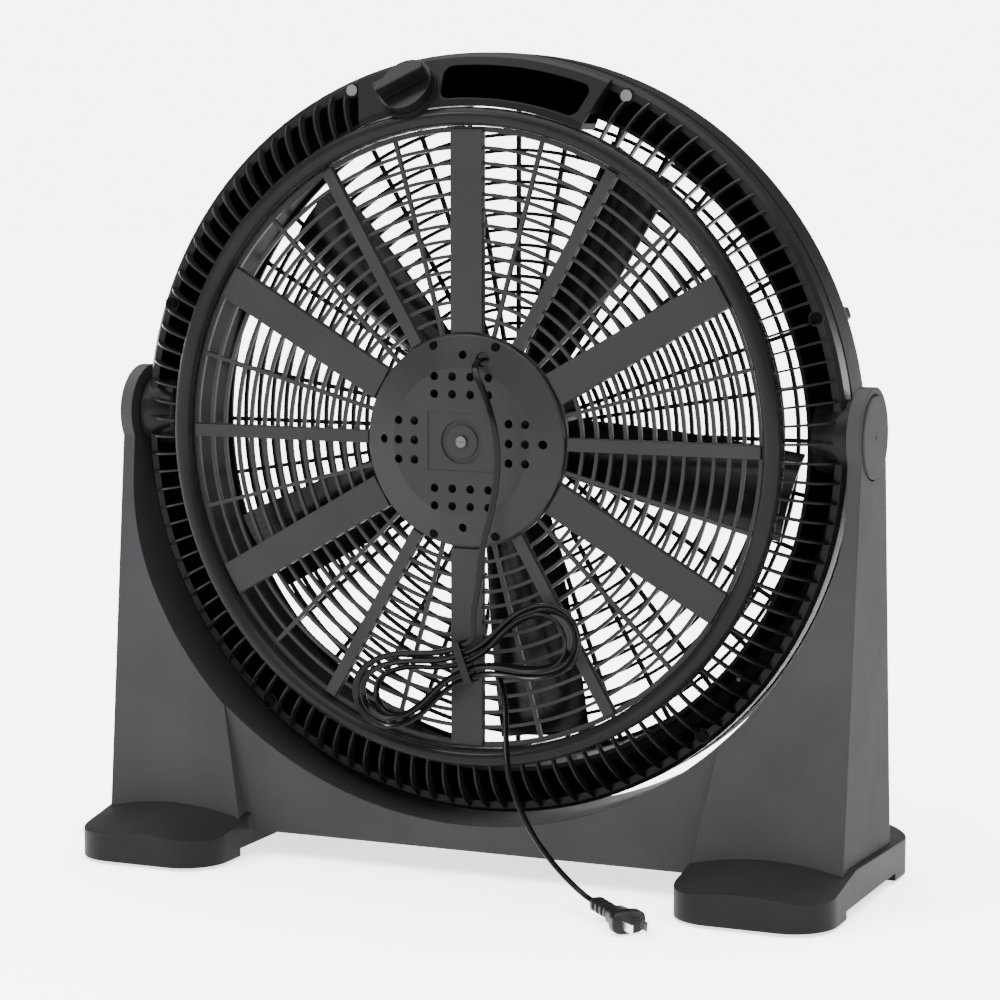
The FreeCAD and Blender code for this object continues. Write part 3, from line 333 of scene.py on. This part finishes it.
def stand_plastic():
    """Grained charcoal plastic, with painted shade on the wall that the head swings in, and duller on its
    sides.
    """
    mat = plastic("stand_plastic", tone=(0.015, 0.019), gloss=(0.46, 0.56), grain=(1500.0, 0.35),
                  edge_round=1.6, shine=STAND_SHINE)
    tree = mat.node_tree
    x, _, z = parts_of(tree, "Object")
    normal_x, normal_y, _ = parts_of(tree, "Normal")
    # Painted shade: faces of the cradle's inner wall, around the pivot, are blended to near black
    wall = math_node(tree, "LESS_THAN", math_node(tree, "ABSOLUTE", normal_y), WALL_FACING)
    near = math_node(tree, "LESS_THAN", reach_from(tree, x, z, PIVOT_HEIGHT), CRADLE_REACH * MM)
    between = math_node(tree, "LESS_THAN", math_node(tree, "ABSOLUTE", x), CRADLE_SIDE * MM)
    paint_shade(mat, both(tree, both(tree, wall, near), between), CRADLE_WALL_SHADE)
    aside = math_node(tree, "ABSOLUTE", normal_x)
    set_shine(mat, fade(tree, aside, SIDE_FROM, 1.0, STAND_SHINE, SIDE_SHINE))
    return mat


def slot_materials():
    """One material for each slot of the record."""
    return {
        "stand_plastic": stand_plastic(),
        "head_plastic": plastic("head_plastic", tone=(0.008, 0.010), gloss=(0.30, 0.38), grain=(900.0, 0.10),
                                edge_round=0.8, shine=HEAD_SHINE),
        "black_plastic": plastic("black_plastic", tone=(0.002, 0.003), gloss=(0.18, 0.25), grain=(900.0, 0.08),
                                 edge_round=0.6, shine=0.08),
        "blade_plastic": plastic("blade_plastic", tone=(0.0015, 0.002), gloss=(0.16, 0.22), grain=(300.0, 0.04),
                                 edge_round=0.5, shine=0.10),
        "pad_rubber": plastic("pad_rubber", tone=(0.006, 0.009), gloss=(0.7, 0.85), grain=(700.0, 0.2),
                              edge_round=0.0, shine=0.2),
        "cord_rubber": plastic("cord_rubber", tone=(0.0015, 0.002), gloss=(0.14, 0.18), grain=(900.0, 0.03),
                               edge_round=0.0, shine=0.07),
        "bright_steel": screw_steel(),
        "motor_steel": metal("motor_steel", (0.42, 0.42, 0.44), 0.38),
        "bell_aluminium": metal("bell_aluminium", (0.55, 0.55, 0.56), 0.5),
        "winding_copper": metal("winding_copper", (0.5, 0.22, 0.09), 0.4),
        "prong_brass": metal("prong_brass", (0.72, 0.71, 0.68), 0.25),
    }


def node_materials():
    """Materials of the nodes that differ from their slot's."""
    housing = plastic("housing_plastic", tone=(0.004, 0.006), gloss=(0.22, 0.28), grain=(900.0, 0.10),
                      edge_round=0.8, shine=HOUSING_SHINE)
    # Painted shade: the front ring and the front grille get a darker, duller copy of the head plastic
    front = plastic("front_shaded_plastic", tone=(0.003, 0.004), gloss=(0.45, 0.55), grain=(900.0, 0.10),
                    edge_round=0.8, shine=0.03)
    # Painted shade: the feet get a darker copy of the stand plastic
    foot = plastic("foot_shaded_plastic", tone=(0.006, 0.008), gloss=(0.46, 0.56), grain=(1500.0, 0.35),
                   edge_round=1.6, shine=0.04)
    return {
        "handle_panel": handle_plastic(),
        "rear_housing": housing,
        "front_ring": front,
        "front_grille": front,
        "foot_left": foot,
        "foot_right": foot,
        "cover_centre_screw": metal("dull_steel", (0.05, 0.05, 0.053), 0.3),
    }


MATERIALS = slot_materials()


def dress_nodes():
    own = node_materials()
    slots = {s["node"]: s["material_slot"] for s in frame["record"]["subparts"]}
    for node, obj in frame["nodes"].items():
        obj.data.materials.clear()
        obj.data.materials.append(own.get(node, MATERIALS[slots[node]]))


# Cord

def hank_point(along, across, layer):
    return HANK_AT + HANK_ALONG * along + HANK_ACROSS * across + Vector((0.0, layer * LAYER_PITCH, 0.0))


def hank_points():
    """Control points of the tied loops, from the drop's arrival to the tail's leaving."""
    pitch = STRAND_PITCH
    top = 2.5 * pitch
    points = [hank_point(20.0, top + 20.0, 1), hank_point(15.0, top + 4.0, 1), hank_point(8.0, top, 1)]
    big = LOBE_HALF
    small = big - pitch
    tiny = small - pitch
    waist_before = 2.5
    layer_before = 1.0
    # Each loop: side, half height on the way out and back, layer, place at the waist in strands, added reach
    loops = [(-1, big, big, 1, -1.5, 0.0), (1, big, big, 1, 1.5, 3.0), (-1, small, small, 1, -0.5, 2.0),
             (1, small, small, 1, 0.5, -2.0), (-1, tiny, small, 0, -0.5, -3.0),
             (1, small, small, 0, 1.5, 4.0), (-1, big, big, 0, -1.5, 5.0)]
    eighth = math.radians(22.5)
    for side, enter, leave, layer, waist, more in loops:
        upper = 1 if side < 0 else -1
        reach = LOBE_REACH + more
        run = reach * LOBE_RUN_SHARE
        points.append(hank_point(side * run, waist_before * pitch, layer_before))
        points.append(hank_point(side * (reach - run), upper * enter, layer))
        radius = (enter + leave) * 0.5
        middle = upper * (enter - leave) * 0.5
        out = radius / math.cos(eighth)
        for step in (3, 1, -1, -3):
            angle = step * eighth
            points.append(hank_point(side * (reach + out * math.cos(angle)),
                                     middle + upper * out * math.sin(angle), layer))
        points.append(hank_point(side * (reach - run), -upper * leave, layer))
        points.append(hank_point(side * run, waist * pitch, layer))
        waist_before = waist
        layer_before = layer
    return points + [hank_point(21.0, -1.5 * pitch, 0), hank_point(21.5, -1.5 * pitch - 16.0, 0)]


DROP_POINTS = [CORD_EXIT, CORD_EXIT + Vector((0.0, 25.0, 0.0)), Vector((-32.0, 78.0, 364.0)),
               Vector((-40.0, 76.0, 330.0)), Vector((-36.0, 73.0, 292.0)), Vector((-24.0, 70.0, 254.0)),
               Vector((-20.0, 68.0, 224.0))]
TAIL_START = hank_point(21.0, -38.0, 1)
TAIL_POINTS = [TAIL_START, TAIL_START + Vector((-5.0, 11.0, -17.0)), Vector((-56.0, 96.0, 92.0)),
               Vector((-72.0, 105.0, 64.0)), Vector((-93.0, 110.0, 38.0)), PLUG_AT - PLUG_WAY * 20.0, PLUG_AT]


def smooth_line(points):
    """Points along the NURBS line that the route guides, in metres."""
    curve = bpy.data.curves.new("route", "CURVE")
    curve.dimensions = "3D"
    curve.resolution_u = ROUTE_STEPS
    spline = curve.splines.new("NURBS")
    spline.points.add(len(points) - 1)
    for slot, point in zip(spline.points, points):
        slot.co = (*(point * MM), 1.0)
    spline.order_u = ROUTE_ORDER
    spline.use_endpoint_u = True
    holder = bpy.data.objects.new("route", curve)
    bpy.context.scene.collection.objects.link(holder)
    bpy.context.view_layer.update()
    mesh = bpy.data.meshes.new_from_object(holder)
    line = [v.co.copy() for v in mesh.vertices]
    bpy.data.objects.remove(holder)
    bpy.data.meshes.remove(mesh)
    return line


def twin_section():
    """Outline of a flat twin lead: two round cores side by side."""
    core = CORD_THICK * 0.5
    offset = (CORD_WIDTH - CORD_THICK) * 0.5
    outline = []
    for k in range(CORD_SIDES):
        a = 2.0 * math.pi * k / CORD_SIDES
        x = math.cos(a)
        y = math.sin(a)
        pinch = 1.0 - PINCH_DEPTH * math.exp(-(x / PINCH_WIDTH) ** 2)
        shift = math.copysign(offset, x) * min(1.0, abs(x) * CORE_TURN)
        outline.append((x * core + shift, y * core * pinch))
    return outline


def tube_object(name, verts, rows, count):
    """Closed tube through rows of section points."""
    faces = []
    for k in range(rows - 1):
        for j in range(count):
            n = (j + 1) % count
            faces.append((k * count + j, k * count + n, (k + 1) * count + n, (k + 1) * count + j))
    faces.append(tuple(range(count - 1, -1, -1)))
    last = (rows - 1) * count
    faces.append(tuple(range(last, last + count)))
    mesh = bpy.data.meshes.new(name)
    mesh.from_pydata(verts, [], faces)
    mesh.shade_smooth()
    obj = bpy.data.objects.new(name, mesh)
    bpy.context.scene.collection.objects.link(obj)
    return obj


def twin_tube(name, line):
    """Flat twin lead along a line, turning with it as little as it can."""
    outline = twin_section()
    tangents = []
    for k in range(len(line)):
        before = line[max(0, k - 1)]
        after = line[min(len(line) - 1, k + 1)]
        tangents.append((after - before).normalized())
    side = Vector((1.0, 0.0, 0.0))
    side = (side - tangents[0] * side.dot(tangents[0])).normalized()
    verts = []
    for point, way in zip(line, tangents):
        side = (side - way * side.dot(way)).normalized()
        up = way.cross(side)
        for x, y in outline:
            verts.append(point + side * (x * MM) + up * (y * MM))
    return tube_object(name, verts, len(line), len(outline))


def plug_sections():
    """Sections of the ribbed relief, the waisted body and the wide face."""
    rows = [(0.0, *RELIEF_START)]
    for k in range(RIB_COUNT):
        near = RIB_FIRST + k * RIB_PITCH
        rows += [(near, *GROOVE_BEFORE), (near + RIB_STEP, *RIB_HALF), (near + RIB_LONG, *RIB_HALF),
                 (near + RIB_LONG + RIB_STEP, *GROOVE_AFTER)]
    return rows + list(PLUG_BODY)


def squared(value):
    """A sine or cosine pushed outwards, so that a round section turns squarish."""
    return math.copysign(abs(value) ** (2.0 / PLUG_SQUARE), value)


def moulded_plug():
    side = PLUG_WAY.cross(Vector((0.0, 0.0, 1.0))).normalized()
    up = side.cross(PLUG_WAY)
    verts = []
    rows = plug_sections()
    for along, half_width, half_height in rows:
        for k in range(PLUG_SIDES):
            a = 2.0 * math.pi * k / PLUG_SIDES
            x = squared(math.cos(a)) * half_width
            y = squared(math.sin(a)) * half_height
            verts.append((PLUG_AT + PLUG_WAY * along + side * x + up * y) * MM)
    plug = tube_object("moulded_plug", verts, len(rows), PLUG_SIDES)
    plug.data.set_sharp_from_angle(angle=PLUG_CREASE)
    plug.data.materials.append(plastic("plug_plastic", tone=(0.003, 0.004), gloss=(0.3, 0.4),
                                       grain=(900.0, 0.06), edge_round=0.4, shine=0.12))
    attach(plug, "stand")
    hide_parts("plug_body")
    return plug


def lay_cord():
    plug = moulded_plug()
    line = smooth_line(DROP_POINTS + hank_points() + TAIL_POINTS)
    lead = twin_tube("mains_lead", line)
    lead.data.materials.append(MATERIALS["cord_rubber"])
    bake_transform(lead)
    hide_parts("cord_drop", "cord_hank", "cord_tail")


# Stage

def lay_floor():
    """Pale paper that glows a little, so that it stays white around the object."""
    bpy.ops.mesh.primitive_plane_add(size=FLOOR_SIZE, location=(0.0, 0.0, 0.0))
    floor = bpy.context.object
    floor.name = "floor"
    mat, tree, shader = new_material("floor_paper")
    coords = tree.nodes.new("ShaderNodeTexCoord")
    low, high = [(tone, tone, tone, 1.0) for tone in FLOOR_TONES]
    tree.links.new(ramp(tree, noise(tree, *FLOOR_NOISE, coords), low, high), shader.inputs["Base Color"])
    shader.inputs["Roughness"].default_value = FLOOR_ROUGH
    shader.inputs["Emission Color"].default_value = WHITE
    shader.inputs["Emission Strength"].default_value = FLOOR_GLOW
    floor.data.materials.append(mat)


def build_world():
    """Pale studio: a soft light overhead and a pale band along the horizon."""
    world = bpy.data.worlds.new("studio")
    bpy.context.scene.world = world
    world.use_nodes = True
    tree = world.node_tree
    back = tree.nodes["Background"]
    back.inputs["Color"].default_value = WHITE
    _, _, upward = parts_of(tree, "Generated")
    over = fade(tree, upward, OVERHEAD_FROM, OVERHEAD_TO, SKY_DIM, OVERHEAD)
    band = fade(tree, upward, HORIZON_FROM, HORIZON_TO, HORIZON, 0.0)
    tree.links.new(both(tree, over, band, "ADD"), back.inputs["Strength"])


def add_lamp(name, place, target, size, power):
    lamp = bpy.data.lights.new(name, "AREA")
    lamp.size = size
    lamp.energy = power
    obj = bpy.data.objects.new(name, lamp)
    obj.location = place
    obj.rotation_euler = (Vector(target) - Vector(place)).to_track_quat("-Z", "Y").to_euler()
    bpy.context.scene.collection.objects.link(obj)


def build_stage():
    lay_floor()
    build_world()
    for lamp in LAMPS:
        add_lamp(*lamp)


def build_camera():
    """Camera of the photograph, with its small shift of the centre."""
    lens = bpy.data.cameras.new("camera")
    lens.sensor_width = SENSOR
    lens.lens = FOCAL_PIXELS / IMAGE_PIXELS * SENSOR
    lens.shift_x = 0.5 - CENTRE_PIXEL[0] / IMAGE_PIXELS
    lens.shift_y = CENTRE_PIXEL[1] / IMAGE_PIXELS - 0.5
    lens.clip_end = CAMERA_FAR
    obj = bpy.data.objects.new("camera", lens)
    obj.location = CAMERA_AT
    obj.rotation_euler = CAMERA_WAY.to_track_quat("-Z", "Y").to_euler()
    bpy.context.scene.collection.objects.link(obj)
    bpy.context.scene.camera = obj


build_camera()
dress_nodes()
lay_cord()
build_stage()
